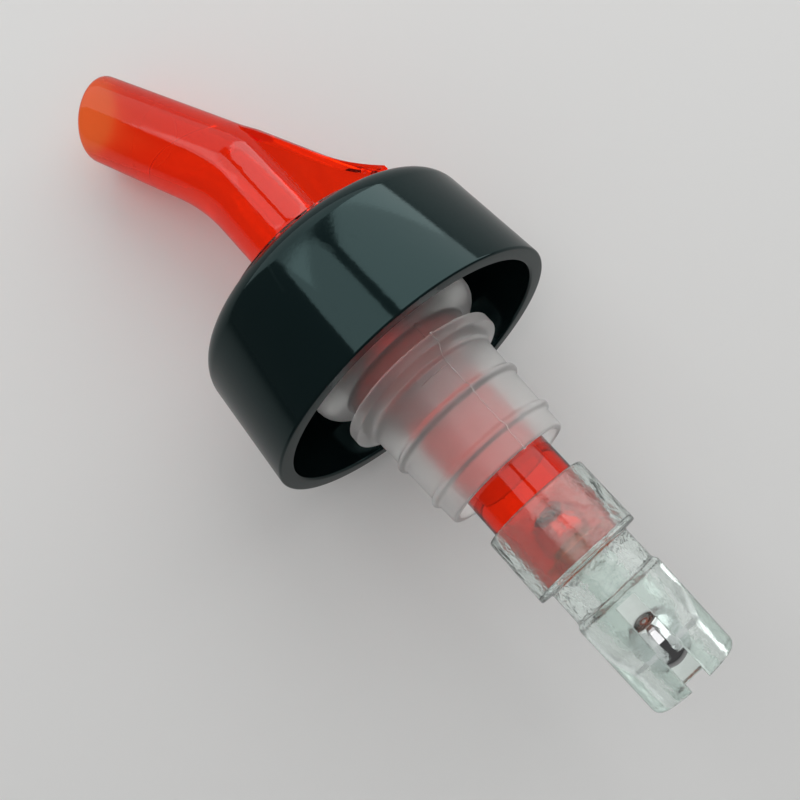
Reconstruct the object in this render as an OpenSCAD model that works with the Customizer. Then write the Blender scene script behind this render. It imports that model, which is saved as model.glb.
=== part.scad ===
// Measured bottle pourer: a leaning spout on a skirted collar, a finned stopper for the bottle neck,
// a metering tube with a rolling ball, and a slotted cage with a second ball at the lower end.
// The origin is on the stopper's axis, half way up the edge of its top fin. +Z points to the spout,
// and the spout leans towards -X.

/* [Balls] */
// Diameter of the steel balls in the tube and in the cage
ball_d = 6.35; // [6:0.05:7]
// Diameter of the steel ball that closes the air port
vent_ball_d = 4; // [3.6:0.1:4.2]

/* [Stopper] */
// Diameter of the top sealing fin, which grips the bottle neck
fin_d = 21.2; // [20:0.1:24]
// Thickness of the top sealing fin at its edge
fin_t = 1.4; // [1:0.1:2]
// Height of the cone that carries the top fin from below
fin_root_h = 1.1; // [0.6:0.1:1.6]
// Wall of the stopper round the head of the tube
stopper_wall = 0.8; // [0.6:0.1:1.4]
// Height from the middle of the top fin to the flange
neck_h = 3.2; // [2.5:0.1:5]
// How far the flange stands out from the neck, with a round underside
flange_reach = 2.9; // [2:0.1:4]
// Height of the flange
flange_h = 5; // [4.5:0.1:7]
// Depth of the stopper below the middle of the top fin
stopper_depth = 14.9; // [14.4:0.1:20]
// Radius that the stopper loses from the top fin to its mouth
stopper_taper = 0.6; // [0.3:0.05:0.8]
// Wall of the hollow below the head of the tube
hollow_wall = 1.3; // [1.1:0.1:1.6]
// Wall of the stopper at its mouth
mouth_wall = 0.85; // [0.6:0.05:1.1]
// Depth of the upper rib below the middle of the top fin
upper_rib_depth = 6.2; // [4:0.1:8]
// Depth of the lower rib below the middle of the top fin
lower_rib_depth = 11.8; // [10:0.1:13]
// Half width of the round ribs
rib_r = 0.7; // [0.4:0.05:0.9]

/* [Collar] */
// Diameter of the skirt at its open rim
rim_d = 40; // [38:0.5:48]
// Radius that the skirt loses from its rim to its top
skirt_draft = 1.1; // [0.4:0.1:1.6]
// Height of the collar
collar_h = 16.8; // [15:0.1:20]
// Wall of the skirt
skirt_wall = 2; // [1.4:0.1:2.6]
// Radius of the round top edge
edge_r = 3.3; // [2.8:0.1:3.6]
// Thickness of the collar's top
web_t = 2.2; // [1.6:0.1:3]
// Length of the hub between the collar's top and the stopper's flange
hub_h = 7.5; // [6:0.1:9]
// Wall of the hub
hub_wall = 2; // [1.4:0.1:2.6]
// Radius of the air port in the collar's top
port_r = 1; // [0.8:0.05:1.1]

/* [Metering tube] */
// Room round the ball in the tube
tube_play = 1.35; // [0.8:0.05:1.6]
// Wall of the tube
tube_wall = 1.2; // [1:0.05:1.5]
// Length of the tube below its head
tube_len = 26.6; // [25:0.1:32]
// Depth of the head's underside below the middle of the top fin
head_drop = 0.6; // [0.3:0.1:1]
// Height of the ledge for the valve seat above the head's underside
ledge_h = 3.6; // [3:0.1:5]
// Width of that ledge
ledge_w = 1.8; // [1.6:0.1:2.2]
// Wall of the head
head_wall = 1.6; // [1.5:0.1:2]
// Depth of the air groove down the head
groove_depth = 0.9; // [0.6:0.05:1.1]
// Width of the air groove
groove_w = 2.4; // [2:0.1:3]

/* [Valve seat] */
// Thickness of the valve seat
seat_t = 2.4; // [1.6:0.1:3]
// How much smaller the seat's bore radius is than the ball's
seat_grip = 0.9; // [0.5:0.05:1.2]

/* [Cage] */
// Wall of the sleeve that is pressed on the tube
sleeve_wall = 1.12; // [0.8:0.01:1.4]
// Depth of the socket for the tube
socket_depth = 8; // [6:0.1:9]
// Thickness of the step under the socket
step_t = 0.6; // [0.4:0.1:1.2]
// Height of the boss inside the tube, which the tube's ball rests on
boss_h = 1.6; // [1:0.1:2.4]
// Room between the boss and the tube's wall
boss_play = 0.25; // [0.1:0.05:0.4]
// Height of the waist below the sleeve
waist_h = 4.6; // [3.6:0.1:6]
// How much slimmer the waist is than the top of the legs, in radius
waist_inset = 0.4; // [0.2:0.05:0.6]
// How much smaller the passage's radius is than the ball's
passage_grip = 0.8; // [0.5:0.05:1.1]
// Room round the ball in the cage
cage_play = 0.9; // [0.5:0.05:1.1]
// Wall of the legs
leg_wall = 1.75; // [1.4:0.05:2.1]
// Length of the legs below the waist
leg_len = 11.7; // [9.6:0.1:13]
// Radius that the legs lose towards their ends
leg_draft = 0.25; // [0.1:0.05:0.4]
// Height of the lip that keeps the ball in
lip_h = 4.2; // [3:0.1:4.6]
// How much smaller the lip's radius is than the ball's
lip_grip = 0.25; // [0.15:0.05:0.5]
// Number of inlet slots
slot_count = 3; // [2:1:4]
// Width of an inlet slot
slot_w = 2.4; // [1.8:0.1:3]
// Height from the top of the legs to the top of the slots
slot_drop = 0.8; // [0.5:0.1:2]
// Round edge at the ends of the legs
leg_edge_r = 0.9; // [0.4:0.1:1.2]

/* [Spout] */
// Diameter of the bore up the spout's foot
foot_bore_d = 8.6; // [7:0.1:9]
// Wall of the upright part of the spout
foot_wall = 1.6; // [1.3:0.1:2]
// Diameter of the base flange
base_d = 29; // [28:0.1:31]
// Thickness of the base flange
base_t = 1.5; // [1:0.1:2.5]
// Radius of the fillet from the upright part to the flange
foot_fillet_r = 5; // [3:0.1:6]
// Height of the elbow above the collar's top
elbow_h = 20.2; // [18:0.1:26]
// Lean of the spout from the upright
lean = 23; // [15:1:26]
// Radius of the bend at the elbow, on the spout's axis
bend_r = 28; // [20:0.5:36]
// Length of the spout from its elbow to its mouth
outlet_len = 20.6; // [16:0.1:30]
// Outer diameter at the mouth
tip_d = 11.2; // [10.6:0.1:12]
// Slant of the mouth from square to the leaning part
mouth_slant = 11; // [2:1:14]
// Outer diameter at the elbow and down the heel
heel_d = 12.2; // [11.8:0.1:13]
// Inner diameter of the leaning part
outlet_bore_d = 9; // [8.8:0.1:9.4]
// Thickness of the heel, which is a flat web outside the upright part
heel_w = 7; // [6.8:0.1:8.4]
// Radius of the concave flare of the heel
heel_flare_r = 26; // [20:0.5:34]
// Length below the elbow at which the flare starts
heel_flare_start = 11; // [8:0.1:14]
// Height of the air chamber in the heel
chamber_h = 7; // [6.8:0.1:9.6]
// Room round the air ball in its chamber
vent_play = 0.3; // [0.2:0.05:0.5]
// Radius of the air inlet through the heel
inlet_r = 1; // [0.6:0.05:1.2]
// Height of the air inlet above the collar's top
inlet_h = 4.6; // [3.6:0.1:5.4]

/* [Fits] */
// Clearance of pieces that are pushed together, in radius or length
fit_gap = 0.03; // [0.01:0.01:0.08]
// Clearance between a ball and its seat
seat_gap = 0.03; // [0.02:0.01:0.08]

/* [Hidden] */
$fn = 96;
past = 1;

// Radii of the tube and of what fits it
ball_r = ball_d / 2;
tube_bore_r = ball_r + tube_play;
tube_r = tube_bore_r + tube_wall;
head_bore_r = tube_bore_r + ledge_w;
head_r = head_bore_r + head_wall;
spigot_r = head_bore_r - fit_gap;
seat_bore_r = ball_r - seat_grip;

// Heights, from the top fin up to the collar's top and down to the tube's end
flange_top = neck_h + flange_h;
web_under = flange_top + hub_h;
web_top = web_under + web_t;
rim_z = web_top - collar_h;
ledge_z = ledge_h - head_drop;
spigot_z = ledge_z + seat_t + fit_gap;
tube_end = -head_drop - tube_len;

// Radii of the stopper
neck_r = head_r + fit_gap + stopper_wall;
mouth_r = neck_r - stopper_taper;

// Radii and heights of the cage
sleeve_r = tube_r + fit_gap + sleeve_wall;
socket_r = tube_r + fit_gap;
socket_floor = tube_end - fit_gap;
sleeve_end = socket_floor - step_t;
passage_r = ball_r - passage_grip;
chamber_r = ball_r + cage_play;
leg_r = chamber_r + leg_wall;
leg_end_r = leg_r - leg_draft;
waist_r = leg_r - waist_inset;
leg_top = sleeve_end - waist_h;
cage_end = leg_top - leg_len;
lip_r = ball_r - lip_grip;
lip_z = cage_end + lip_h;
seat_edge = socket_floor + boss_h;

// Balls at rest, each on the edge of its seat
tube_ball_z = seat_edge + sqrt(ball_r * ball_r - passage_r * passage_r) + seat_gap;
cage_ball_z = lip_z + sqrt(ball_r * ball_r - lip_r * lip_r) + seat_gap;
vent_ball_r = vent_ball_d / 2;
vent_ball_z = web_top + sqrt(vent_ball_r * vent_ball_r - port_r * port_r) + seat_gap;

// Air passage, beside the spigot
port_wall = 0.4;
vent_x = spigot_r + port_r + port_wall;
vent_bore_r = vent_ball_r + vent_play;

// Spout
foot_bore_r = foot_bore_d / 2;
foot_r = foot_bore_r + foot_wall;
elbow_z = web_top + elbow_h;
bend_reach = bend_r * tan(lean / 2);
base_r = base_d / 2;
heel_r = heel_d / 2;
tip_r = tip_d / 2;
outlet_bore_r = outlet_bore_d / 2;
heel_len = (elbow_h + base_r) / cos(lean);
knuckle_r = heel_r + fit_gap;
mouth_reach = tip_r * tan(mouth_slant);

// Quarter of a round edge, from the outside of a wall at r to its end at z
module round_edge_cut(r, z, edge) {
    difference() {
        translate([r - edge, z])
            square([edge + past, edge]);
        translate([r - edge, z + edge])
            circle(edge);
    }
}

// Red transparent spout: base flange, spigot, upright foot, leaning outlet and heel with an air chamber
module spout() {
    color([0.86, 0.16, 0.04, 0.85])
    difference() {
        union() {
            spout_outside();
            translate([0, 0, spigot_z])
                cylinder(r = spigot_r, h = web_top - spigot_z + base_t);
        }
        spout_bores();
    }
}

module spout_outside() {
    translate([0, 0, web_top]) {
        cylinder(r = base_r, h = base_t);
        cylinder(r = foot_r, h = elbow_h - bend_reach);
        translate([0, 0, base_t])
            foot_fillet();
    }
    elbow_bend();
    translate([0, 0, elbow_z]) {
        sphere(r = knuckle_r);
        rotate([0, -lean, 0])
            outlet();
    }
    heel();
}

// Leaning outlet with a slanted mouth, along Z from the elbow
module outlet() {
    difference() {
        cylinder(r1 = heel_r, r2 = tip_r, h = outlet_len + mouth_reach);
        translate([0, 0, outlet_len])
            rotate([0, -mouth_slant, 0])
                translate([-heel_d, -heel_d, 0])
                    cube([2 * heel_d, 2 * heel_d, heel_d]);
    }
}

// Heel under the outlet: a flat web that fills the outside of the bend
module heel() {
    heel_h = elbow_h + heel_r;
    intersection() {
        translate([0, 0, elbow_z])
            rotate([0, -lean, 0]) {
                translate([0, 0, -heel_len])
                    cylinder(r = heel_r, h = heel_len);
                heel_flare();
            }
        translate([0, 0, web_top])
            cylinder(r = base_r, h = heel_h);
        translate([0, -heel_w / 2, web_top])
            cube([base_r, heel_w, heel_h]);
    }
}

// Round bend from the upright foot to the leaning outlet
module elbow_bend() {
    translate([-bend_r, 0, elbow_z - bend_reach])
        rotate([90, 0, 0])
            rotate_extrude(angle = lean)
                translate([bend_r, 0])
                    circle(foot_r);
}

// Concave ring between the upright foot and the base flange
module foot_fillet() {
    rotate_extrude()
        difference() {
            translate([foot_r - past, 0])
                square([foot_fillet_r + past, foot_fillet_r]);
            translate([foot_r + foot_fillet_r, foot_fillet_r])
                circle(foot_fillet_r);
        }
}

// Concave flare of the heel, about the leaning axis
module heel_flare() {
    flare_len = heel_len - heel_flare_start;
    rotate_extrude()
        difference() {
            translate([heel_r - past, -heel_len])
                square([heel_flare_r / 2, flare_len]);
            translate([heel_r + heel_flare_r, -heel_flare_start])
                circle(heel_flare_r, $fn = 180);
        }
}

module spout_bores() {
    translate([0, 0, spigot_z - past])
        cylinder(r = foot_bore_r, h = elbow_z - spigot_z + past);
    translate([0, 0, elbow_z]) {
        sphere(r = outlet_bore_r + fit_gap);
        rotate([0, -lean, 0])
            cylinder(r = outlet_bore_r, h = outlet_len + mouth_reach + past);
    }
    translate([vent_x, 0, web_top])
        cylinder(r = vent_bore_r, h = chamber_h);
    translate([vent_x, 0, web_top + inlet_h])
        rotate([0, 90, 0])
            cylinder(r = inlet_r, h = base_r);
}

// Glossy black collar: flared skirt with a round top edge, top with an air port, and a hub
module collar() {
    color([0.1, 0.13, 0.13])
    difference() {
        union() {
            difference() {
                rotate_extrude()
                    skirt_outline(rim_d / 2, collar_h, edge_r);
                rotate_extrude()
                    translate([0, -past])
                        skirt_outline(rim_d / 2 - skirt_wall + inner_rise(past), collar_h - web_t + past,
                                      edge_r - skirt_wall / 2);
            }
            translate([0, 0, flange_top + fit_gap])
                cylinder(r = head_r + fit_gap + hub_wall, h = hub_h - fit_gap + web_t / 2);
        }
        translate([0, 0, flange_top])
            cylinder(r = head_r + fit_gap, h = hub_h);
        cylinder(r = spigot_r + fit_gap, h = web_top + past);
        translate([vent_x, 0, flange_top])
            cylinder(r = port_r, h = hub_h + web_t + past);
    }
}

// Radius that the skirt's inside gains over a stretch h below the rim
function inner_rise(h) = skirt_draft * h / collar_h;

// Half section of a skirt of radius r at its rim and height h, with a round top edge
module skirt_outline(r, h, edge) {
    half = atan2(skirt_draft, collar_h);
    top_r = r - inner_rise(h);
    edge_x = top_r + inner_rise(edge) - edge / cos(half);
    translate([0, web_top - collar_h]) {
        polygon([
            [0, 0], [r, 0],
            [edge_x + edge * cos(half), h - edge + edge * sin(half)],
            [edge_x, h], [0, h]
        ]);
        translate([edge_x, h - edge])
            circle(edge);
    }
}

// Milky soft stopper: flange, neck, top fin, two ribs, and a hollow open at the mouth
module stopper() {
    color([0.82, 0.82, 0.8, 0.8])
    rotate_extrude()
        difference() {
            stopper_outline();
            stopper_hollow();
        }
}

module stopper_outline() {
    fin_low = -fin_t / 2;
    neck_in = neck_r - stopper_wall / 2;
    polygon([
        [0, -stopper_depth], [mouth_r, -stopper_depth], [neck_r, fin_low],
        [neck_r, neck_h + flange_reach], [neck_r, flange_top], [0, flange_top]
    ]);
    polygon([
        [neck_in, fin_low - fin_root_h], [fin_d / 2, fin_low],
        [fin_d / 2, fin_t / 2], [neck_in, fin_t / 2]
    ]);
    intersection() {
        translate([neck_r, neck_h + flange_reach])
            circle(flange_reach);
        translate([neck_in, neck_h])
            square([stopper_wall / 2 + flange_reach, flange_reach]);
    }
    translate([neck_in, neck_h + flange_reach])
        square([stopper_wall / 2 + flange_reach, flange_h - flange_reach]);
    for (depth = [upper_rib_depth, lower_rib_depth])
        translate([wall_r(depth), -depth])
            circle(rib_r);
}

// Outer radius of the stopper at a depth below the top fin
function wall_r(depth) = neck_r - stopper_taper * (depth - fin_t / 2) / (stopper_depth - fin_t / 2);

module stopper_hollow() {
    bore_r = head_r + fit_gap;
    floor_z = -head_drop - fit_gap;
    polygon([
        [0, flange_top + past], [bore_r, flange_top + past], [bore_r, floor_z],
        [wall_r(head_drop) - hollow_wall, floor_z],
        [mouth_r - mouth_wall, -stopper_depth], [mouth_r - mouth_wall, -stopper_depth - past],
        [0, -stopper_depth - past]
    ]);
}

// Red transparent tube with a wide head that carries the valve seat, the spout and the collar
module metering_tube() {
    head_top = web_under - fit_gap;
    color([0.86, 0.16, 0.04, 0.85])
    difference() {
        union() {
            translate([0, 0, tube_end])
                cylinder(r = tube_r, h = tube_len + past);
            translate([0, 0, -head_drop])
                cylinder(r = head_r, h = head_top + head_drop);
        }
        translate([0, 0, tube_end - past])
            cylinder(r = tube_bore_r, h = ledge_z - tube_end + 2 * past);
        translate([0, 0, ledge_z])
            cylinder(r = head_bore_r, h = head_top - ledge_z + past);
        translate([head_r - groove_depth, -groove_w / 2, -head_drop - past])
            cube([groove_depth + past, groove_w, head_top + head_drop + 2 * past]);
    }
}

// White ring between the spout's spigot and the tube's ledge, where the tube's ball shuts the flow
module valve_seat() {
    color([0.92, 0.92, 0.9])
    translate([0, 0, ledge_z])
        difference() {
            cylinder(r = spigot_r, h = seat_t);
            translate([0, 0, -past])
                cylinder(r = seat_bore_r, h = seat_t + 2 * past);
        }
}

// Clear cage: sleeve on the tube, waist with a passage, and slotted legs with a lip round the ball
module cage() {
    color([0.85, 0.92, 0.9, 0.5])
    difference() {
        rotate_extrude()
            difference() {
                cage_outline();
                cage_hollow();
            }
        for (i = [0 : slot_count - 1])
            rotate([0, 0, 360 * i / slot_count - 90])
                translate([0, -slot_w / 2, cage_end - past])
                    cube([leg_r + past, slot_w, leg_len - slot_drop + past]);
    }
}

module cage_outline() {
    difference() {
        polygon([
            [0, cage_end], [leg_end_r, cage_end], [leg_r, leg_top], [waist_r, leg_top],
            [waist_r, sleeve_end], [sleeve_r, sleeve_end],
            [sleeve_r, socket_floor + socket_depth], [0, socket_floor + socket_depth]
        ]);
        round_edge_cut(leg_end_r, cage_end, leg_edge_r);
    }
}

module cage_hollow() {
    boss_r = tube_bore_r - boss_play;
    polygon([
        [0, cage_end - past], [lip_r, cage_end - past], [lip_r, lip_z], [chamber_r, lip_z],
        [chamber_r, leg_top], [passage_r, leg_top], [passage_r, seat_edge], [boss_r, seat_edge],
        [boss_r, socket_floor], [socket_r, socket_floor],
        [socket_r, socket_floor + socket_depth + past], [0, socket_floor + socket_depth + past]
    ]);
}

// Polished steel ball that rolls up the tube and shuts the flow
module tube_ball() {
    color([0.75, 0.76, 0.78])
    translate([0, 0, tube_ball_z])
        sphere(r = ball_r);
}

// Polished steel ball in the cage
module cage_ball() {
    color([0.75, 0.76, 0.78])
    translate([0, 0, cage_ball_z])
        sphere(r = ball_r);
}

// Small steel ball that closes the air port while the bottle stands
module vent_ball() {
    color([0.75, 0.76, 0.78])
    translate([vent_x, 0, vent_ball_z])
        sphere(r = vent_ball_r);
}

spout();
collar();
stopper();
metering_tube();
valve_seat();
cage();
tube_ball();
cage_ball();
vent_ball();
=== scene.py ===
import math

import bmesh
import bpy
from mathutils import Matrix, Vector


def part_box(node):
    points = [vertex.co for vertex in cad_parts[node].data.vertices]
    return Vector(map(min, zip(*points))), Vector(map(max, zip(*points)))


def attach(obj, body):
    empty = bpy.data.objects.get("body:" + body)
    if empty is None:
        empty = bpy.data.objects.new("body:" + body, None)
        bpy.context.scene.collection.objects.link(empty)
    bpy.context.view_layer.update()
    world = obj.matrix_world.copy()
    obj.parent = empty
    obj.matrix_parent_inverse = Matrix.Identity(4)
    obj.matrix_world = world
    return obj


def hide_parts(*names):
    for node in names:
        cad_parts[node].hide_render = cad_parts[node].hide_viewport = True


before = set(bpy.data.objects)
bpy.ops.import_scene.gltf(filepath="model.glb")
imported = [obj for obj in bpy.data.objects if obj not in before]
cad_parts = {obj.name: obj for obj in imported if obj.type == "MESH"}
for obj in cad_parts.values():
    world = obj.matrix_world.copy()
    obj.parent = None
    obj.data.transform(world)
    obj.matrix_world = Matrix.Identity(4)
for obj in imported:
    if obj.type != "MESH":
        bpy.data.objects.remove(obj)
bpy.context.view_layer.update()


# Camera. It looks down on the lying pourer from a hand's width away: the spout points to the upper
# left, and the cage comes towards the lower right.
camera_place = (0, -0.10653, -0.03013)
camera_turn = (110.82, 41.06, 12.02)
camera_data = bpy.data.cameras.new("camera")
camera_data.lens = 42.345
camera_data.shift_x = -0.0625
camera_data.shift_y = -0.0468
camera_data.clip_start = 0.005
camera = bpy.data.objects.new("camera", camera_data)
camera.location = camera_place
camera.rotation_euler = [math.radians(turn) for turn in camera_turn]
scene = bpy.context.scene
scene.collection.objects.link(camera)
scene.camera = camera
scene.view_settings.view_transform = "Standard"


# Table. The pourer lies on it with the round edge of the collar and the back of the spout's mouth, so
# it is tilted to the pourer's axis. It is matt pale board, which is clear when it is seen from below.
# Where a glossy piece mirrors it, its colour is painted darker as painted shade, more so with distance.
table_tilt = math.radians(17.8)
table_away = 0.0227
table_size = 3
table_colour = (0.83, 0.83, 0.82, 1)
table_seen_through = 0.82
mirrored_near = 0.02
mirrored_far = 0.5
mirrored_dimming = (0.45, 0.85)


def add_node(tree, kind, values=None, **settings):
    """Add a shader node, with values for its input sockets and settings for the node itself."""
    node = tree.nodes.new(kind)
    for setting, value in settings.items():
        setattr(node, setting, value)
    for socket, value in (values or {}).items():
        node.inputs[socket].default_value = value
    return node


bpy.ops.object.select_all(action="DESELECT")
bpy.ops.mesh.primitive_plane_add(
    size=table_size,
    location=(0, table_away * math.cos(table_tilt), table_away * math.sin(table_tilt)),
    rotation=(math.pi / 2 + table_tilt, 0, 0),
)
table = bpy.context.object
table.name = "table"
table.visible_shadow = False
table_board = bpy.data.materials.new("table_board")
table_board.use_nodes = True
tree = table_board.node_tree
board = tree.nodes["Principled BSDF"]
board.inputs["Roughness"].default_value = 0.8
board.inputs["Specular IOR Level"].default_value = 0.2
ray = add_node(tree, "ShaderNodeLightPath")
table_place = add_node(tree, "ShaderNodeTexCoord")
distance = add_node(tree, "ShaderNodeVectorMath", operation="LENGTH")
# Painted shade in mirrors: glossy rays see the board's colour blended towards black, more with distance
fading = add_node(tree, "ShaderNodeMapRange", {
    "From Min": mirrored_near, "From Max": mirrored_far,
    "To Min": mirrored_dimming[0], "To Max": mirrored_dimming[1]})
dimming = add_node(tree, "ShaderNodeMath", operation="MULTIPLY")
mirrored_colour = add_node(tree, "ShaderNodeMixRGB", {"Color1": table_colour, "Color2": (0, 0, 0, 1)})
tree.links.new(table_place.outputs["Object"], distance.inputs[0])
tree.links.new(distance.outputs["Value"], fading.inputs["Value"])
tree.links.new(fading.outputs["Result"], dimming.inputs[0])
tree.links.new(ray.outputs["Is Glossy Ray"], dimming.inputs[1])
tree.links.new(dimming.outputs["Value"], mirrored_colour.inputs["Fac"])
tree.links.new(mirrored_colour.outputs["Color"], board.inputs["Base Color"])
side = add_node(tree, "ShaderNodeNewGeometry")
clear = add_node(tree, "ShaderNodeBsdfTransparent")
lit = add_node(tree, "ShaderNodeEmission", {"Color": table_colour, "Strength": table_seen_through})
through = add_node(tree, "ShaderNodeMixShader")
either = add_node(tree, "ShaderNodeMixShader")
tree.links.new(ray.outputs["Is Transmission Ray"], through.inputs["Fac"])
tree.links.new(board.outputs["BSDF"], through.inputs[1])
tree.links.new(lit.outputs["Emission"], through.inputs[2])
tree.links.new(side.outputs["Backfacing"], either.inputs["Fac"])
tree.links.new(through.outputs["Shader"], either.inputs[1])
tree.links.new(clear.outputs["BSDF"], either.inputs[2])
tree.links.new(either.outputs["Shader"], tree.nodes["Material Output"].inputs["Surface"])
table.data.materials.append(table_board)


# Studio light. Two tall soft panels stand side by side before the pourer, with a narrow gap that the
# collar mirrors. Weaker ones stand to the far right and behind and hang above, and the room gives an
# even, dim fill.
panel_away = 0.6
left_glow = 1.28
right_glow = 1.6
top_glow = 0.75
weak_glow = 0.8
room_fill = 0.33
room_mirrored = 0.07
room_seen = 0.9


def add_panel(name, azimuth, elevation, across, upward, glow):
    """A soft panel that faces the pourer, with its edges across and upward from where it faces it.

    Azimuth runs from -Y towards +X, in degrees. The glow is the panel's radiance.
    """
    wide = across[1] - across[0]
    high = upward[1] - upward[0]
    data = bpy.data.lights.new(name, "AREA")
    data.shape = "RECTANGLE"
    data.size = wide
    data.size_y = high
    data.energy = glow * math.pi * wide * high
    panel = bpy.data.objects.new(name, data)
    turn = math.radians(azimuth)
    rise = math.radians(elevation)
    towards = Vector((math.sin(turn) * math.cos(rise), -math.cos(turn) * math.cos(rise), math.sin(rise)))
    sideways = Vector((math.cos(turn), math.sin(turn), 0))
    above = towards.cross(sideways)
    panel.location = towards * panel_away + sideways * sum(across) / 2 + above * sum(upward) / 2
    panel.rotation_euler = towards.to_track_quat("Z", "Y").to_euler()
    panel.visible_camera = False
    scene.collection.objects.link(panel)


add_panel("panel_left", -2, 0, (-0.19, 0.155), (-0.15, 0.47), left_glow)
add_panel("panel_right", 55, 0, (-0.425, 0.53), (-0.15, 0.51), right_glow)
add_panel("panel_far_right", 124, 10, (-0.3, 0.3), (-0.2, 0.25), weak_glow)
add_panel("panel_top", 26, 75, (-0.45, 0.8), (-0.43, 0.37), top_glow)
add_panel("panel_back", 195, 35, (-0.2, 0.2), (-0.2, 0.2), weak_glow)

room = bpy.data.worlds.new("room")
room.use_nodes = True
scene.world = room
tree = room.node_tree
ray = add_node(tree, "ShaderNodeLightPath")
seen_or_through = add_node(tree, "ShaderNodeMath", operation="MAXIMUM")
tree.links.new(ray.outputs["Is Camera Ray"], seen_or_through.inputs[0])
tree.links.new(ray.outputs["Is Transmission Ray"], seen_or_through.inputs[1])
fill = tree.nodes["Background"]
fill.inputs["Color"].default_value = (1, 1, 1, 1)
fill.inputs["Strength"].default_value = room_fill
mirrored = add_node(tree, "ShaderNodeBackground", {"Color": (1, 1, 1, 1), "Strength": room_mirrored})
seen = add_node(tree, "ShaderNodeBackground", {"Color": (1, 1, 1, 1), "Strength": room_seen})
in_mirror = add_node(tree, "ShaderNodeMixShader")
in_sight = add_node(tree, "ShaderNodeMixShader")
tree.links.new(ray.outputs["Is Glossy Ray"], in_mirror.inputs["Fac"])
tree.links.new(fill.outputs["Background"], in_mirror.inputs[1])
tree.links.new(mirrored.outputs["Background"], in_mirror.inputs[2])
tree.links.new(seen_or_through.outputs["Value"], in_sight.inputs["Fac"])
tree.links.new(in_mirror.outputs["Shader"], in_sight.inputs[1])
tree.links.new(seen.outputs["Background"], in_sight.inputs[2])
tree.links.new(in_sight.outputs["Shader"], tree.nodes["World Output"].inputs["Surface"])


# Metering tube. It is moulded in clear red plastic, with a wide head that carries every other piece.
# An air groove runs down the head, and the dose flows up the bore past the ball.
tube_low, tube_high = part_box("metering_tube")
seat_low, seat_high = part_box("valve_seat")
fit_gap = 0.00003
weld = 0.000002
tube_r = 0.005725
tube_wall = 0.0012
tube_bore_r = tube_r - tube_wall
head_r = tube_high.y
head_under = -0.0006
head_bore_r = seat_high.y + fit_gap
moulded_edge = 0.0002
head_edge = 0.0003
groove_depth = 0.0009
groove_wide = 0.0024
groove_long = 0.02
start_size = 0.001
smooth_turn = math.radians(30)


def select_near(piece, points):
    """Select only the vertices at these points of the piece that is being edited."""
    mesh = bmesh.from_edit_mesh(piece.data)
    for vertex in mesh.verts:
        vertex.select = any((vertex.co - Vector(point)).length < weld for point in points)
    mesh.select_flush(True)
    bmesh.update_edit_mesh(piece.data)


def close_mesh():
    """Weld the seams of the mesh that is being edited and turn its faces outwards."""
    bpy.ops.mesh.select_all(action="SELECT")
    bpy.ops.mesh.remove_doubles(threshold=weld)
    bpy.ops.mesh.normals_make_consistent(inside=False)


def turned(name, corners, steps=128, round_steps=6):
    """Spin a closed half section about the axis. A corner is its radius, height and rounding."""
    bpy.ops.object.select_all(action="DESELECT")
    bpy.ops.mesh.primitive_plane_add(size=start_size, location=(corners[0][0], 0, corners[0][1]))
    piece = bpy.context.object
    piece.name = name
    piece.data.name = name
    bpy.ops.object.transform_apply(location=True)
    bpy.ops.object.mode_set(mode="EDIT")
    bpy.ops.mesh.select_mode(type="VERT")
    bpy.ops.mesh.merge(type="CENTER")
    for (radius, height, _), (next_radius, next_height, _) in zip(corners, corners[1:] + corners[:1]):
        step = (next_radius - radius, 0, next_height - height)
        bpy.ops.mesh.extrude_vertices_move(TRANSFORM_OT_translate={"value": step})
    bpy.ops.mesh.select_all(action="SELECT")
    bpy.ops.mesh.remove_doubles(threshold=weld)
    for rounding in sorted({corner[2] for corner in corners} - {0}):
        select_near(piece, [(radius, 0, height) for radius, height, own in corners if own == rounding])
        bpy.ops.mesh.bevel(offset=rounding, affect="VERTICES", segments=round_steps, clamp_overlap=False)
    bpy.ops.mesh.select_all(action="SELECT")
    bpy.ops.mesh.spin(steps=steps, angle=math.tau, center=(0, 0, 0), axis=(0, 0, 1))
    close_mesh()
    bpy.ops.object.mode_set(mode="OBJECT")
    bpy.ops.object.shade_smooth_by_angle(angle=smooth_turn)
    return piece


def apply_modifiers(piece):
    """Apply the piece's modifiers in their order."""
    bpy.ops.object.select_all(action="DESELECT")
    piece.select_set(True)
    bpy.context.view_layer.objects.active = piece
    for modifier in list(piece.modifiers):
        bpy.ops.object.modifier_apply(modifier=modifier.name)


def combine(piece, other, operation="DIFFERENCE"):
    """Cut another shape out of the piece, or join or intersect them, and remove that shape."""
    both = piece.modifiers.new("both", "BOOLEAN")
    both.operation = operation
    both.solver = "EXACT"
    both.object = other
    apply_modifiers(piece)
    bpy.data.objects.remove(other)
    bpy.ops.object.shade_smooth_by_angle(angle=smooth_turn)


def block(place, size):
    """A box to cut with, given by its middle and its three sides."""
    bpy.ops.object.select_all(action="DESELECT")
    bpy.ops.mesh.primitive_cube_add(size=1, location=place, scale=size)
    return bpy.context.object


metering_tube = turned("red_metering_tube", [
    (tube_r, tube_low.z, moulded_edge),
    (tube_r, head_under, head_edge),
    (head_r, head_under, head_edge),
    (head_r, tube_high.z, head_edge),
    (head_bore_r, tube_high.z, head_edge),
    (head_bore_r, seat_low.z, moulded_edge),
    (tube_bore_r, seat_low.z, moulded_edge),
    (tube_bore_r, tube_low.z, moulded_edge),
])
combine(metering_tube, block((head_r, 0, tube_high.z / 2), (2 * groove_depth, groove_wide, groove_long)))


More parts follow.
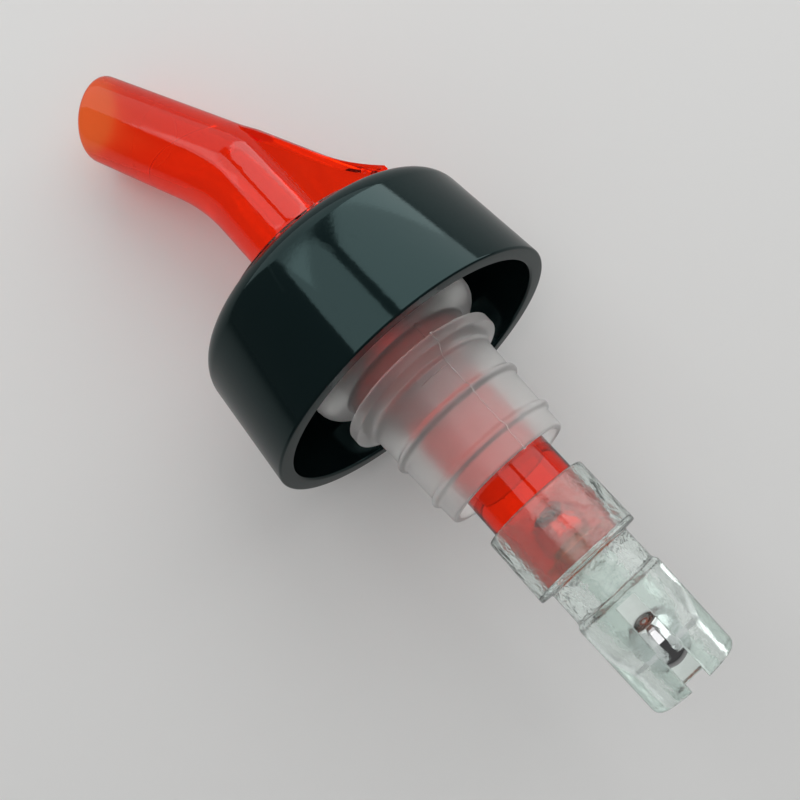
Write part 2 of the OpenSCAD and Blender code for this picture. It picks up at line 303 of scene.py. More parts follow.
def new_group(name, inputs, outputs):
    """A shader node group with these number inputs beside its Vector, and these number outputs."""
    group = bpy.data.node_groups.new(name, "ShaderNodeTree")
    group.interface.new_socket("Vector", in_out="INPUT", socket_type="NodeSocketVector")
    for socket, value in inputs.items():
        made = group.interface.new_socket(socket, in_out="INPUT", socket_type="NodeSocketFloat")
        made.default_value = value
    for socket in outputs:
        group.interface.new_socket(socket, in_out="OUTPUT", socket_type="NodeSocketFloat")
    start = group.nodes.new("NodeGroupInput")
    end = group.nodes.new("NodeGroupOutput")
    return group, start, end


# Moulded skin: slow waves where the plastic flowed, and the fine grain of the mould
grain_share = 0.12
moulded_skin, start, end = new_group(
    "moulded_skin", {"Flow": 150, "Grain": 2500}, ["Height", "Gloss", "Cloud"])
flow = add_node(moulded_skin, "ShaderNodeTexNoise", {"Detail": 2, "Distortion": 0.8})
grain = add_node(moulded_skin, "ShaderNodeTexNoise", {"Detail": 3})
height = add_node(moulded_skin, "ShaderNodeMath", {1: grain_share}, operation="MULTIPLY_ADD")
gloss = add_node(moulded_skin, "ShaderNodeMath", operation="MULTIPLY")
for noise, scale in ((flow, "Flow"), (grain, "Grain")):
    moulded_skin.links.new(start.outputs["Vector"], noise.inputs["Vector"])
    moulded_skin.links.new(start.outputs[scale], noise.inputs["Scale"])
moulded_skin.links.new(grain.outputs["Fac"], height.inputs[0])
moulded_skin.links.new(flow.outputs["Fac"], height.inputs[2])
moulded_skin.links.new(grain.outputs["Fac"], gloss.inputs[0])
moulded_skin.links.new(flow.outputs["Fac"], gloss.inputs[1])
moulded_skin.links.new(height.outputs["Value"], end.inputs["Height"])
moulded_skin.links.new(gloss.outputs["Value"], end.inputs["Gloss"])
moulded_skin.links.new(flow.outputs["Fac"], end.inputs["Cloud"])

# Fine scratches: noise that is drawn out into long thin streaks in two directions
streak_turns = ((0.4, 0.3, 0.5), (0.2, 1.1, -0.9))
streak_stretch = (1, 12, 0.3)
fine_scratches, start, end = new_group("fine_scratches", {"Scale": 300}, ["Mask"])
streaks = []
for turn in streak_turns:
    drawn = add_node(fine_scratches, "ShaderNodeMapping", {"Rotation": turn, "Scale": streak_stretch})
    noise = add_node(fine_scratches, "ShaderNodeTexNoise", {"Detail": 1})
    thin = add_node(fine_scratches, "ShaderNodeMapRange", {"From Min": 0.7, "From Max": 0.74})
    fine_scratches.links.new(start.outputs["Vector"], drawn.inputs["Vector"])
    fine_scratches.links.new(drawn.outputs["Vector"], noise.inputs["Vector"])
    fine_scratches.links.new(start.outputs["Scale"], noise.inputs["Scale"])
    fine_scratches.links.new(noise.outputs["Fac"], thin.inputs["Value"])
    streaks.append(thin)
either_streak = add_node(fine_scratches, "ShaderNodeMath", operation="MAXIMUM")
for number, thin in enumerate(streaks):
    fine_scratches.links.new(thin.outputs["Result"], either_streak.inputs[number])
fine_scratches.links.new(either_streak.outputs["Value"], end.inputs["Mask"])


def new_finish(name, constants, skin=(150, 2500), scratches=300):
    """A material with these constants on its shader, and the skin and scratches to link to it."""
    finish = bpy.data.materials.new(name)
    finish.use_nodes = True
    tree = finish.node_tree
    shader = tree.nodes["Principled BSDF"]
    for socket, value in constants.items():
        shader.inputs[socket].default_value = value
    place = add_node(tree, "ShaderNodeTexCoord")
    skin_node = add_node(tree, "ShaderNodeGroup", node_tree=moulded_skin)
    skin_node.inputs["Flow"].default_value = skin[0]
    skin_node.inputs["Grain"].default_value = skin[1]
    scratch_node = add_node(tree, "ShaderNodeGroup", node_tree=fine_scratches)
    scratch_node.inputs["Scale"].default_value = scratches
    tree.links.new(place.outputs["Object"], skin_node.inputs["Vector"])
    tree.links.new(place.outputs["Object"], scratch_node.inputs["Vector"])
    return finish, tree, shader, skin_node, scratch_node


def vary_colour(tree, shader, mask, colours):
    """Blend the shader's base colour between two colours by a mask."""
    blend = add_node(tree, "ShaderNodeMixRGB", {"Color1": (*colours[0], 1), "Color2": (*colours[1], 1)})
    tree.links.new(mask, blend.inputs["Fac"])
    tree.links.new(blend.outputs["Color"], shader.inputs["Base Color"])


full_gloss = 0.6


def vary_roughness(tree, shader, gloss, scratch, low, high, worn):
    """Run the roughness from low to high with the skin's gloss, and up to worn in the scratches."""
    spread = add_node(tree, "ShaderNodeMapRange", {"From Max": full_gloss, "To Min": low, "To Max": high})
    rubbed = add_node(tree, "ShaderNodeMix", {"B": worn}, data_type="FLOAT")
    tree.links.new(gloss, spread.inputs["Value"])
    tree.links.new(spread.outputs["Result"], rubbed.inputs["A"])
    tree.links.new(scratch, rubbed.inputs["Factor"])
    tree.links.new(rubbed.outputs["Result"], shader.inputs["Roughness"])


def raise_skin(tree, shader, height, strength, distance):
    """Bump the surface by the skin's height, over a distance in metres."""
    bump = add_node(tree, "ShaderNodeBump", {"Strength": strength, "Distance": distance})
    tree.links.new(height, bump.inputs["Height"])
    tree.links.new(bump.outputs["Normal"], shader.inputs["Normal"])


# Light that is still mirrored in the spout after several turns gets a dim glow, or it would go black
trapped_glow = (0.2, 0.02, 0.006, 1)
trapped_depth = 3.5
trapped_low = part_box("collar")[1].z


def red_finish(name, colours):
    """Clear red plastic. Light is tinted where it passes the skin, so the bore has a skin of its own."""
    finish, tree, shader, skin, scratch = new_finish(
        name, {"IOR": 1.49, "Transmission Weight": 1, "Emission Strength": 1}, skin=(120, 1500))
    vary_colour(tree, shader, skin.outputs["Cloud"], colours)
    vary_roughness(tree, shader, skin.outputs["Gloss"], scratch.outputs["Mask"], 0.03, 0.08, 0.14)
    raise_skin(tree, shader, skin.outputs["Height"], 0.15, 0.0003)
    ray = add_node(tree, "ShaderNodeLightPath")
    place = add_node(tree, "ShaderNodeTexCoord")
    split = add_node(tree, "ShaderNodeSeparateXYZ")
    late = add_node(tree, "ShaderNodeMath", {1: trapped_depth}, operation="GREATER_THAN")
    in_spout = add_node(tree, "ShaderNodeMath", {1: trapped_low}, operation="GREATER_THAN")
    late_in_spout = add_node(tree, "ShaderNodeMath", operation="MULTIPLY")
    trapped = add_node(tree, "ShaderNodeMath", operation="MULTIPLY")
    glow = add_node(tree, "ShaderNodeMixRGB", {"Color1": (0, 0, 0, 1), "Color2": trapped_glow})
    tree.links.new(ray.outputs["Ray Depth"], late.inputs[0])
    tree.links.new(place.outputs["Object"], split.inputs["Vector"])
    tree.links.new(split.outputs["Z"], in_spout.inputs[0])
    tree.links.new(late.outputs["Value"], late_in_spout.inputs[0])
    tree.links.new(in_spout.outputs["Value"], late_in_spout.inputs[1])
    tree.links.new(late_in_spout.outputs["Value"], trapped.inputs[0])
    tree.links.new(ray.outputs["Is Reflection Ray"], trapped.inputs[1])
    tree.links.new(trapped.outputs["Value"], glow.inputs["Fac"])
    tree.links.new(glow.outputs["Color"], shader.inputs["Emission Color"])
    return finish


def line_bore(piece, in_bore):
    """Give the piece its red skin, and the paler one to the faces whose middle lies in its bore."""
    piece.data.materials.append(red_plastic)
    piece.data.materials.append(red_bore)
    for face in piece.data.polygons:
        face.material_index = int(in_bore(face.center))


def in_tube_bore(place):
    """Whether a place on the tube or its head is nearer to the bore than to the outside."""
    middle_r = (tube_r + tube_bore_r) / 2 if place.z < seat_low.z else (head_r + head_bore_r) / 2
    return math.hypot(place.x, place.y) < middle_r


red_plastic = red_finish("clear_red_plastic", ((0.86, 0.014, 0.0006), (0.92, 0.028, 0.0014)))
red_bore = red_finish("clear_red_plastic_bore", ((0.97, 0.9, 0.86), (0.99, 0.94, 0.91)))
line_bore(metering_tube, in_tube_bore)
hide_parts("metering_tube")
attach(metering_tube, "pourer")


# Valve seat. It is a turned ring of natural white plastic that lies on the ledge in the tube's head,
# under the spout's spigot. The ball comes up against its chamfered bore and ends the dose.
seat_bore_r = 0.002275
seat_chamfer = 0.0003
valve_seat = turned("white_valve_seat", [
    (seat_bore_r, seat_low.z + seat_chamfer, 0),
    (seat_bore_r + seat_chamfer, seat_low.z, 0),
    (seat_high.y, seat_low.z, moulded_edge),
    (seat_high.y, seat_high.z, moulded_edge),
    (seat_bore_r, seat_high.z, moulded_edge),
], steps=96)
white_plastic, tree, shader, skin, scratch = new_finish(
    "natural_white_plastic", {"IOR": 1.5, "Subsurface Weight": 0.2, "Subsurface Scale": 0.001})
vary_colour(tree, shader, skin.outputs["Cloud"], ((0.84, 0.84, 0.81), (0.9, 0.9, 0.88)))
vary_roughness(tree, shader, skin.outputs["Gloss"], scratch.outputs["Mask"], 0.35, 0.5, 0.6)
raise_skin(tree, shader, skin.outputs["Height"], 0.3, 0.00005)
valve_seat.data.materials.append(white_plastic)
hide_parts("valve_seat")
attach(valve_seat, "pourer")


# Ball in the tube. It is a ground and polished stainless steel ball that rests on the cage's boss and
# rolls up the bore when the bottle is turned over.
ball_levels = 5


def ball(name, node):
    """A ball of even four-sided faces in the place of a CAD ball."""
    low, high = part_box(node)
    bpy.ops.object.select_all(action="DESELECT")
    bpy.ops.mesh.primitive_cube_add(size=(high - low).x)
    piece = bpy.context.object
    piece.name = name
    piece.data.name = name
    finer = piece.modifiers.new("finer", "SUBSURF")
    finer.levels = ball_levels
    finer.render_levels = ball_levels
    rounder = piece.modifiers.new("rounder", "CAST")
    rounder.factor = 1
    rounder.use_radius_as_size = False
    rounder.size = (high - low).x / 2
    apply_modifiers(piece)
    piece.location = (low + high) / 2
    bpy.ops.object.transform_apply(location=True)
    bpy.ops.object.shade_smooth()
    return piece


polished_steel, tree, shader, skin, scratch = new_finish(
    "polished_steel", {"Metallic": 1}, skin=(300, 4000), scratches=900)
vary_colour(tree, shader, skin.outputs["Cloud"], ((0.66, 0.66, 0.67), (0.74, 0.74, 0.75)))
vary_roughness(tree, shader, skin.outputs["Gloss"], scratch.outputs["Mask"], 0.03, 0.1, 0.25)
raise_skin(tree, shader, skin.outputs["Height"], 0.1, 0.00002)
tube_ball = ball("steel_tube_ball", "tube_ball")
tube_ball.data.materials.append(polished_steel)
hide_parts("tube_ball")
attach(tube_ball, "tube_ball")


# Cage. It is moulded in clear plastic, and its sleeve is pressed on the end of the tube. Below a thick
# waist with a narrow passage, three legs hold the second ball behind a lip.
cage_low, cage_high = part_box("cage")
sleeve_r = cage_high.y
sleeve_edge = 0.00025
socket_r = tube_r + fit_gap
socket_floor = tube_low.z - fit_gap
sleeve_end = socket_floor - 0.0006
boss_r = tube_bore_r - 0.00025
boss_top = socket_floor + 0.0016
passage_r = 0.002375
waist_r = 0.005425
waist_fillet = 0.0004
leg_top = sleeve_end - 0.0046
leg_r = 0.005825
leg_edge = 0.0003
leg_end_r = 0.005575
leg_end_round = 0.0009
chamber_r = 0.004075
chamber_round = 0.0006
lip_r = 0.002925
lip_top = cage_low.z + 0.0042
lip_corner_z = lip_top - 0.0001
seat_wide_r = 0.0032
seat_wide_z = lip_top + 0.0011
seat_flare_z = lip_top + 0.0034
seat_flare_round = 0.0011
slot_wide = 0.0024
slot_top = leg_top - 0.0008
slot_turns = (-90, 30, 150)
slot_past = 0.001
frosted_r = chamber_r + 0.0002
clear_r = leg_end_r - 0.0005
core_roughness = 0.16
outer_roughness = 0.02
swirl_near = 0.001
swirl_far = 0.0032
swirl_share = 0.8
cage = turned("clear_cage", [
    (lip_r, cage_low.z, leg_edge),
    (leg_end_r, cage_low.z, leg_end_round),
    (leg_r, leg_top, leg_edge),
    (waist_r, leg_top + waist_fillet, waist_fillet),
    (waist_r, sleeve_end, leg_edge),
    (sleeve_r, sleeve_end, sleeve_edge),
    (sleeve_r, cage_high.z, sleeve_edge),
    (socket_r, cage_high.z, sleeve_edge),
    (socket_r, socket_floor, moulded_edge),
    (boss_r, socket_floor, moulded_edge),
    (boss_r, boss_top, moulded_edge),
    (passage_r, boss_top, moulded_edge),
    (passage_r, leg_top, moulded_edge),
    (chamber_r, leg_top, chamber_round),
    (chamber_r, seat_flare_z, seat_flare_round),
    (seat_wide_r, seat_wide_z, chamber_round),
    (lip_r, lip_corner_z, leg_edge),
], steps=144)
slot_long = slot_top - cage_low.z + 2 * slot_past
for turn in slot_turns:
    cutter = block(
        ((leg_r + slot_past) / 2, 0, slot_top - slot_long / 2), (leg_r + slot_past, slot_wide, slot_long))
    bpy.ops.object.transform_apply()
    cutter.rotation_euler.z = math.radians(turn)
    combine(cage, cutter)
clear_plastic, tree, shader, skin, scratch = new_finish(
    "clear_plastic", {"IOR": 1.55, "Transmission Weight": 0.97}, skin=(220, 2500))
vary_colour(tree, shader, skin.outputs["Cloud"], ((0.72, 0.8, 0.77), (0.8, 0.86, 0.83)))
cage_place = add_node(tree, "ShaderNodeTexCoord")
off_axis = add_node(tree, "ShaderNodeVectorMath", {1: (1, 1, 0)}, operation="MULTIPLY")
from_axis = add_node(tree, "ShaderNodeVectorMath", operation="LENGTH")
core_side = add_node(tree, "ShaderNodeMapRange", {
    "From Min": frosted_r, "From Max": clear_r, "To Min": core_roughness, "To Max": outer_roughness})
tree.links.new(cage_place.outputs["Object"], off_axis.inputs[0])
tree.links.new(off_axis.outputs["Vector"], from_axis.inputs[0])
tree.links.new(from_axis.outputs["Value"], core_side.inputs["Value"])
tree.links.new(core_side.outputs["Result"], shader.inputs["Roughness"])
split = add_node(tree, "ShaderNodeSeparateXYZ")
from_waist = add_node(tree, "ShaderNodeMath", {1: (sleeve_end + leg_top) / 2}, operation="SUBTRACT")
away = add_node(tree, "ShaderNodeMath", operation="ABSOLUTE")
near_waist = add_node(tree, "ShaderNodeMapRange", {
    "From Min": swirl_near, "From Max": swirl_far, "To Min": swirl_share, "To Max": 0},
    interpolation_type="SMOOTHSTEP")
swirls = add_node(tree, "ShaderNodeTexNoise", {"Scale": 550, "Detail": 1, "Distortion": 1.5})
lumps = add_node(tree, "ShaderNodeMath", operation="MULTIPLY_ADD")
tree.links.new(cage_place.outputs["Object"], split.inputs["Vector"])
tree.links.new(split.outputs["Z"], from_waist.inputs[0])
tree.links.new(from_waist.outputs["Value"], away.inputs[0])
tree.links.new(away.outputs["Value"], near_waist.inputs["Value"])
tree.links.new(cage_place.outputs["Object"], swirls.inputs["Vector"])
tree.links.new(swirls.outputs["Fac"], lumps.inputs[0])
tree.links.new(near_waist.outputs["Result"], lumps.inputs[1])
tree.links.new(skin.outputs["Height"], lumps.inputs[2])
raise_skin(tree, shader, lumps.outputs["Value"], 0.5, 0.0005)
cage.data.materials.append(clear_plastic)
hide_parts("cage")
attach(cage, "pourer")


# Ball in the cage. It is a second polished steel ball of the same size, snapped in past the lip. It
# lifts to the passage when the bottle is turned over.
cage_ball = ball("steel_cage_ball", "cage_ball")
cage_ball.data.materials.append(polished_steel)
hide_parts("cage_ball")
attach(cage_ball, "cage_ball")


# Stopper. It is moulded in soft milky plastic and stretched over the tube's head. Its fin and ribs grip
# the bottle neck, and the two halves of its mould leave a raised line down each side.
stopper_low, stopper_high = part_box("stopper")
stopper_edge = 0.0003
bore_r = head_r + fit_gap
neck_r = bore_r + 0.0008
neck_top = 0.0032
neck_fillet = 0.0004
flange_r = stopper_high.y
flange_round = flange_r - neck_r - 0.0005
fin_r = 0.0106
fin_half = 0.0007
fin_edge = 0.00015
fin_root = -0.0018
mouth_r = 0.008155
mouth_wall = 0.00085
bore_end = head_under - fit_gap
hollow_r = 0.00746
rib_depths = (0.0062, 0.0118)
rib_half = 0.0006
rib_stands = 0.0005
ridge_turns = (-67, 113)
ridge_half_turn = 1
ridge_stands = 0.00015
bar_turns = (-93, -69)
bar_low = -0.0027
bar_high = -0.002
bar_stands = 0.00035


def wall_radius(z):
    """Outer radius of the tapering wall below the fin."""
    return neck_r + (mouth_r - neck_r) * (z + fin_half) / (stopper_low.z + fin_half)


stopper_corners = [
    (mouth_r - mouth_wall, stopper_low.z, stopper_edge),
    (mouth_r, stopper_low.z, stopper_edge),
]
for depth in reversed(rib_depths):
    crest = wall_radius(-depth) + rib_stands
    stopper_corners += [
        (wall_radius(-depth - rib_half), -depth - rib_half, moulded_edge),
        (crest, -depth - rib_half / 3, moulded_edge),
        (crest, -depth + rib_half / 3, moulded_edge),
        (wall_radius(-depth + rib_half), -depth + rib_half, moulded_edge),
    ]
stopper_corners += [
    (wall_radius(bar_low), bar_low, 0),
    (wall_radius(bar_high), bar_high, 0),
    (wall_radius(fin_root) + moulded_edge, fin_root + stopper_edge, stopper_edge),
    (fin_r, -fin_half, fin_edge),
    (fin_r, fin_half, fin_edge),
    (neck_r, fin_half, neck_fillet),
    (neck_r, neck_top, stopper_edge),
    (flange_r, neck_top, flange_round),
    (flange_r, stopper_high.z, stopper_edge),
    (bore_r, stopper_high.z, moulded_edge),
    (bore_r, bore_end, moulded_edge),
    (hollow_r, bore_end, moulded_edge),
]
stopper = turned("milky_stopper", stopper_corners, steps=180)


def raise_faces(piece, first_turn, last_turn, low, high, stands):
    """Raise the outer faces between two turns from +X, in degrees, and two heights."""
    bpy.ops.object.select_all(action="DESELECT")
    piece.select_set(True)
    bpy.context.view_layer.objects.active = piece
    bpy.ops.object.mode_set(mode="EDIT")
    bpy.ops.mesh.select_mode(type="FACE")
    mesh = bmesh.from_edit_mesh(piece.data)
    for face in mesh.faces:
        centre = face.calc_center_median()
        turn = math.degrees(math.atan2(centre.y, centre.x))
        outward = face.normal.x * centre.x + face.normal.y * centre.y > 0
        face.select = first_turn < turn < last_turn and low < centre.z < high and outward
    bmesh.update_edit_mesh(piece.data)
    bpy.ops.mesh.extrude_region_shrink_fatten(TRANSFORM_OT_shrink_fatten={"value": stands})
    bpy.ops.object.mode_set(mode="OBJECT")


for turn in ridge_turns:
    raise_faces(
        stopper, turn - ridge_half_turn, turn + ridge_half_turn, stopper_low.z, neck_top, ridge_stands)
raise_faces(stopper, *bar_turns, bar_low, bar_high, bar_stands)
bpy.ops.object.shade_smooth_by_angle(angle=smooth_turn)
milky_plastic, tree, shader, skin, scratch = new_finish(
    "milky_plastic",
    {"IOR": 1.4, "Transmission Weight": 0.88, "Sheen Weight": 0.3, "Sheen Roughness": 0.3},
    skin=(260, 5000))
vary_colour(tree, shader, skin.outputs["Cloud"], ((0.86, 0.86, 0.85), (0.94, 0.94, 0.93)))
vary_roughness(tree, shader, skin.outputs["Gloss"], scratch.outputs["Mask"], 0.3, 0.4, 0.42)
raise_skin(tree, shader, skin.outputs["Height"], 0.15, 0.0001)
stopper.data.materials.append(milky_plastic)
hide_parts("stopper")
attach(stopper, "pourer")


# Collar. It is moulded in glossy green-black plastic, with a flared skirt that shields the bottle neck,
# a round top edge and a hub. It is held between the spout's flange and the stopper's.
collar_low, collar_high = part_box("collar")
rim_r = collar_high.y
collar_height = collar_high.z - collar_low.z
skirt_draft = 0.0011
skirt_wall = 0.002
skirt_fillet = 0.002
rim_edge = 0.0003
top_edge = 0.0033
bevel_share = 0.94
web_under = collar_high.z - 0.0022
hub_r = bore_r + 0.002
hub_fillet = 0.0008
hub_end = stopper_high.z + fit_gap
spigot_hole_r = head_bore_r
port_x = 0.007695
port_r = 0.001


def skirt_radius(z, r):
    """Radius of a drafted wall at a height, from its radius at the rim."""
    return r - skirt_draft * (z - collar_low.z) / collar_height


collar = turned("glossy_collar", [
    (rim_r - skirt_wall, collar_low.z, rim_edge),
    (rim_r, collar_low.z, rim_edge),
    (skirt_radius(collar_high.z, rim_r), collar_high.z, top_edge * bevel_share),
    (spigot_hole_r, collar_high.z, moulded_edge),
    (spigot_hole_r, web_under, moulded_edge),
    (bore_r, web_under, moulded_edge),
    (bore_r, hub_end, moulded_edge),
    (hub_r, hub_end, moulded_edge),
    (hub_r, web_under, hub_fillet),
    (skirt_radius(web_under, rim_r - skirt_wall), web_under, skirt_fillet),
], steps=192, round_steps=10)
bpy.ops.object.select_all(action="DESELECT")
bpy.ops.mesh.primitive_cylinder_add(
    vertices=48, radius=port_r, depth=2 * (collar_high.z - hub_end), location=(port_x, 0, collar_high.z))
combine(collar, bpy.context.object)
black_plastic, tree, shader, skin, scratch = new_finish(
    "green_black_plastic", {"IOR": 1.5, "Specular Tint": (0.62, 1, 1, 1)}, skin=(90, 3000))
vary_colour(tree, shader, skin.outputs["Cloud"], ((0.003, 0.0075, 0.008), (0.005, 0.0105, 0.011)))
vary_roughness(tree, shader, skin.outputs["Gloss"], scratch.outputs["Mask"], 0.05, 0.12, 0.17)
raise_skin(tree, shader, skin.outputs["Height"], 0.1, 0.0002)
collar.data.materials.append(black_plastic)
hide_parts("collar")
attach(collar, "pourer")


# Air ball. It is a small polished steel ball in the chamber of the spout's heel, and closes the air
# port in the collar while the bottle stands.
vent_ball = ball("steel_vent_ball", "vent_ball")
vent_ball.data.materials.append(polished_steel)
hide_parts("vent_ball")
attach(vent_ball, "vent_ball")


# Spout. It is moulded in the same clear red plastic: a flange on the collar, a spigot down into the
# tube's head, an upright foot that bends into the leaning outlet, and a heel with an air chamber.
spout_low, spout_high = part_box("spout")
base_r = spout_high.y
base_low = collar_high.z
base_top = base_low + 0.0015
spigot_r = seat_high.y
foot_r = 0.0059
foot_bore_r = 0.0043
foot_fillet = 0.005
elbow_z = base_low + 0.0202
lean = math.radians(23)
inner_bend = 0.0221
outer_bend = 0.01
outlet_len = 0.0206
outlet_bore_r = 0.0045
tip_r = 0.0056
mouth_tilt = lean + math.radians(11)
outline_rings = 60
lip_long = 0.0008
lip_round = 0.0007
lip_steps = 8
bore_round = 0.0003
bore_round_steps = 6
core_line_up = 0.0055
core_line_tilt = math.radians(-17)
core_step = 0.00015
bore_bend = 0.016
bore_bend_steps = 10
bore_stops = (0.03, base_top, 0.012, spout_low.z + moulded_edge)
spigot_chamfer = 0.0004
along = Vector((-math.sin(lean), 0, math.cos(lean)))
across = Vector((math.cos(lean), 0, math.sin(lean)))
elbow = Vector((0, 0, elbow_z))
tip = elbow + along * outlet_len
mouth_stretch = 1 / math.cos(mouth_tilt - lean)
mouth_way = Vector((math.cos(mouth_tilt), 0, math.sin(mouth_tilt))) * mouth_stretch


def outline_point(share, wall_x, bend):
    """Point on one outline of the spout, from base to tip: fillet, upright wall, bend and outlet."""
    side = math.copysign(1, wall_x)
    middle = Vector((wall_x - bend, 0, elbow_z + (wall_x - bend) * math.tan(lean / 2)))
    bend_end = middle + across * bend
    tip_end = tip + mouth_way * tip_r * side - along * lip_long
    fillet_way = foot_fillet * math.pi / 2
    wall_way = middle.z - base_top - foot_fillet
    tip_way = (tip_end - bend_end).length
    way = share * (fillet_way + wall_way + bend * lean + tip_way)
    if way < fillet_way:
        turn = way / foot_fillet
        out = foot_fillet * (1 - math.sin(turn))
        return Vector((wall_x + side * out, 0, base_top + foot_fillet * (1 - math.cos(turn))))
    way -= fillet_way
    if way < wall_way:
        return Vector((wall_x, 0, base_top + foot_fillet + way))
    way -= wall_way
    if way < bend * lean:
        turn = way / bend
        return middle + Vector((math.cos(turn), 0, math.sin(turn))) * bend
    return bend_end.lerp(tip_end, (way - bend * lean) / tip_way)


def next_ring(last, centre, half_long, half_wide, tilt):
    """Extrude the selected ring to a new centre, size and tilt, and return what it now is."""
    here = last["centre"]
    bpy.ops.mesh.extrude_region_move()
    bpy.ops.transform.rotate(value=-last["tilt"], orient_axis="Y", center_override=here)
    bpy.ops.transform.resize(
        value=(half_long / last["long"], half_wide / last["wide"], 1), center_override=here)
    bpy.ops.transform.rotate(value=tilt, orient_axis="Y", center_override=here)
    bpy.ops.transform.translate(value=Vector(centre) - here)
    return {"centre": Vector(centre), "long": half_long, "wide": half_wide, "tilt": tilt}


bpy.ops.object.select_all(action="DESELECT")
bpy.ops.mesh.primitive_circle_add(vertices=128, radius=base_r, location=(0, 0, base_low))
spout = bpy.context.object
spout.name = "red_spout"
spout.data.name = "red_spout"
bpy.ops.object.transform_apply(location=True)
bpy.ops.object.mode_set(mode="EDIT")
bpy.ops.mesh.select_mode(type="VERT")
ring = {"centre": Vector((0, 0, base_low)), "long": base_r, "wide": base_r, "tilt": 0}
for height, radius in ((base_top - moulded_edge, base_r), (base_top, base_r - moulded_edge)):
    ring = next_ring(ring, (0, 0, height), radius, radius, 0)
for number in range(outline_rings):
    share = number / outline_rings
    left = outline_point(share, -foot_r, inner_bend)
    right = outline_point(share, foot_r, outer_bend)
    tilt = math.atan2(right.z - left.z, right.x - left.x)
    half = (right - left).length / 2
    upright = left.x <= -foot_r and left.z < elbow_z - foot_r
    wide = half * math.cos(tilt) if upright else foot_r + (tip_r - foot_r) * share ** 3
    ring = next_ring(ring, (left + right) / 2, half, wide, tilt)
for number in range(1, lip_steps + 1):
    turn = math.pi / 2 * number / lip_steps
    radius = tip_r - lip_round * (1 - math.cos(turn))
    ring = next_ring(
        ring, tip - along * lip_long * (1 - math.sin(turn)), radius * mouth_stretch, radius, mouth_tilt)
for number in range(bore_round_steps + 1):
    turn = math.pi / 2 * number / bore_round_steps
    radius = outlet_bore_r + bore_round * (1 - math.sin(turn))
    ring = next_ring(
        ring, tip - along * bore_round * (1 - math.cos(turn)), radius * mouth_stretch, radius, mouth_tilt)
core_line = elbow + along * core_line_up
core_stretch = 1 / math.cos(lean - core_line_tilt)
for radius in (outlet_bore_r, outlet_bore_r - core_step):
    ring = next_ring(ring, core_line, radius * core_stretch, radius, core_line_tilt)
bend_low = elbow_z - bore_bend * math.tan(lean / 2)
for number in range(bore_bend_steps + 1):
    turn = lean * (1 - number / bore_bend_steps)
    bend_point = Vector((bore_bend * (math.cos(turn) - 1), 0, bend_low + bore_bend * math.sin(turn)))
    ring = next_ring(ring, bend_point, foot_bore_r, foot_bore_r, turn)
for height in bore_stops:
    ring = next_ring(ring, (0, 0, height), foot_bore_r, foot_bore_r, 0)
for height, radius in (
        (spout_low.z, foot_bore_r + moulded_edge),
        (spout_low.z, spigot_r - spigot_chamfer),
        (spout_low.z + spigot_chamfer, spigot_r),
        (base_low, spigot_r),
        (base_low, base_r)):
    ring = next_ring(ring, (0, 0, height), radius, radius, 0)
close_mesh()
bpy.ops.object.mode_set(mode="OBJECT")

# Heel of the spout: a tapering web under the straight line of the outlet, whose round outer edge flares
# out towards the flange
heel_top_r = 0.0057
heel_top = elbow + along * 0.003
heel_r = 0.0061
heel_start = elbow - along * 0.002
heel_half = 0.0035
heel_end_half = 0.0026
heel_in_wall = 0.0046
heel_end_x = 0.0142
heel_edge = 0.0005
heel_edge_steps = 3
heel_edge_turn = math.radians(40)
flare_r = 0.026
flare_turn = math.radians(36)
flare_start = 0.011
flare_steps = 16
web_low = base_low + 0.0004
web_high = elbow_z + 0.005
bpy.ops.object.select_all(action="DESELECT")
bpy.ops.mesh.primitive_circle_add(
    vertices=128, radius=heel_top_r, fill_type="NGON", location=heel_top, rotation=(0, -lean, 0))
heel = bpy.context.object
bpy.ops.object.transform_apply()
bpy.ops.object.mode_set(mode="EDIT")
bpy.ops.mesh.select_all(action="SELECT")
ring = {"centre": heel_top, "long": heel_top_r, "wide": heel_top_r, "tilt": lean}
ring = next_ring(ring, heel_start, heel_r, heel_r, lean)
for number in range(flare_steps + 1):
    turn = flare_turn * number / flare_steps
    radius = heel_r + flare_r * (1 - math.cos(turn))
    ring = next_ring(ring, elbow - along * (flare_start + flare_r * math.sin(turn)), radius, radius, lean)
close_mesh()
bpy.ops.object.mode_set(mode="OBJECT")
wedge = block(
    ((heel_in_wall + heel_end_x) / 2, 0, (web_low + web_high) / 2),
    (heel_end_x - heel_in_wall, 2 * heel_half, web_high - web_low))
bpy.ops.object.transform_apply()
bpy.ops.object.mode_set(mode="EDIT")
select_near(wedge, [(heel_end_x, y, z) for y in (-heel_half, heel_half) for z in (web_low, web_high)])
bpy.ops.transform.resize(value=(1, heel_end_half / heel_half, 1), center_override=(heel_end_x, 0, web_low))
bpy.ops.object.mode_set(mode="OBJECT")
combine(heel, wedge, "INTERSECT")
edges = heel.modifiers.new("edges", "BEVEL")
edges.width = heel_edge
edges.segments = heel_edge_steps
edges.limit_method = "ANGLE"
edges.angle_limit = heel_edge_turn
apply_modifiers(heel)
combine(spout, heel, "UNION")

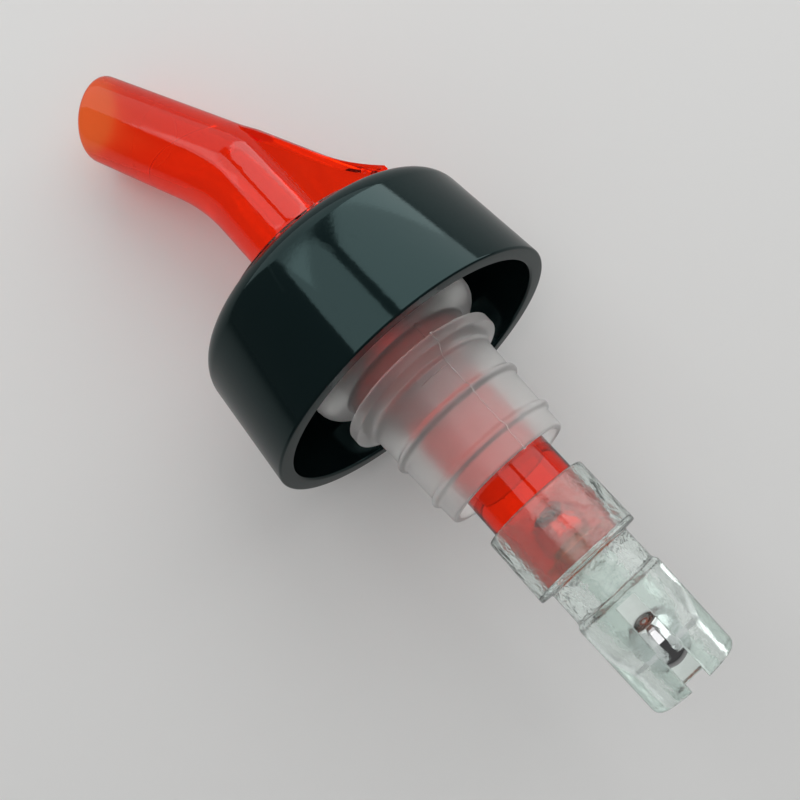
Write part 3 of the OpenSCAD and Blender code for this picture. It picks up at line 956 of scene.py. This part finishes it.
# Air chamber of the heel: a domed bore above the collar's air port, with an inlet through the heel's end
vent_bore_r = 0.0023
chamber_top = base_low + 0.007
chamber_margin = 0.0001
inlet_z = base_low + 0.0046
inlet_r = 0.001
dome_z = chamber_top - vent_bore_r
dome_steps = 8
dome_turn = math.radians(88)
core_low = Vector((port_x, 0, base_low - 0.00005))
bpy.ops.object.select_all(action="DESELECT")
bpy.ops.mesh.primitive_circle_add(vertices=48, radius=vent_bore_r, fill_type="NGON", location=core_low)
chamber = bpy.context.object
bpy.ops.object.transform_apply()
bpy.ops.object.mode_set(mode="EDIT")
bpy.ops.mesh.select_all(action="SELECT")
ring = {"centre": core_low, "long": vent_bore_r, "wide": vent_bore_r, "tilt": 0}
for number in range(dome_steps + 1):
    turn = dome_turn * number / dome_steps
    radius = vent_bore_r * math.cos(turn)
    ring = next_ring(ring, (port_x, 0, dome_z + vent_bore_r * math.sin(turn)), radius, radius, 0)
close_mesh()
bpy.ops.object.mode_set(mode="OBJECT")
combine(spout, chamber)
bpy.ops.object.select_all(action="DESELECT")
bpy.ops.mesh.primitive_cylinder_add(
    vertices=32, radius=inlet_r, depth=base_r,
    location=(port_x + base_r / 2, 0, inlet_z), rotation=(0, math.pi / 2, 0))
combine(spout, bpy.context.object)
spout_smooth_turn = math.radians(16)
bpy.ops.object.shade_smooth_by_angle(angle=spout_smooth_turn)


def in_spout_bore(place):
    """Whether a place is in the air chamber, or nearer to the spout's axis than the middle of the wall."""
    off_port = math.hypot(place.x - port_x, place.y)
    if off_port < vent_bore_r + chamber_margin and base_low < place.z < chamber_top:
        return True
    on_line = max(0, (place - elbow).dot(along))
    from_axis = (place - elbow - along * on_line).length if on_line else math.hypot(place.x, place.y)
    return from_axis < (foot_r + foot_bore_r) / 2


# The bore is frosted towards the mouth, where the core of the mould was drawn out
frost_start = tip.dot(along) - 0.014
frost_full = tip.dot(along) - 0.006
bore_roughness = 0.03
mouth_roughness = 0.4
tree = red_bore.node_tree
bore_place = add_node(tree, "ShaderNodeTexCoord")
inwards = add_node(tree, "ShaderNodeVectorMath", {1: tuple(along)}, operation="DOT_PRODUCT")
near_mouth = add_node(tree, "ShaderNodeMapRange", {
    "From Min": frost_start, "From Max": frost_full, "To Min": bore_roughness, "To Max": mouth_roughness},
    interpolation_type="SMOOTHSTEP")
tree.links.new(bore_place.outputs["Object"], inwards.inputs[0])
tree.links.new(inwards.outputs["Value"], near_mouth.inputs["Value"])
tree.links.new(near_mouth.outputs["Result"], tree.nodes["Principled BSDF"].inputs["Roughness"])
line_bore(spout, in_spout_bore)
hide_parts("spout")
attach(spout, "pourer")
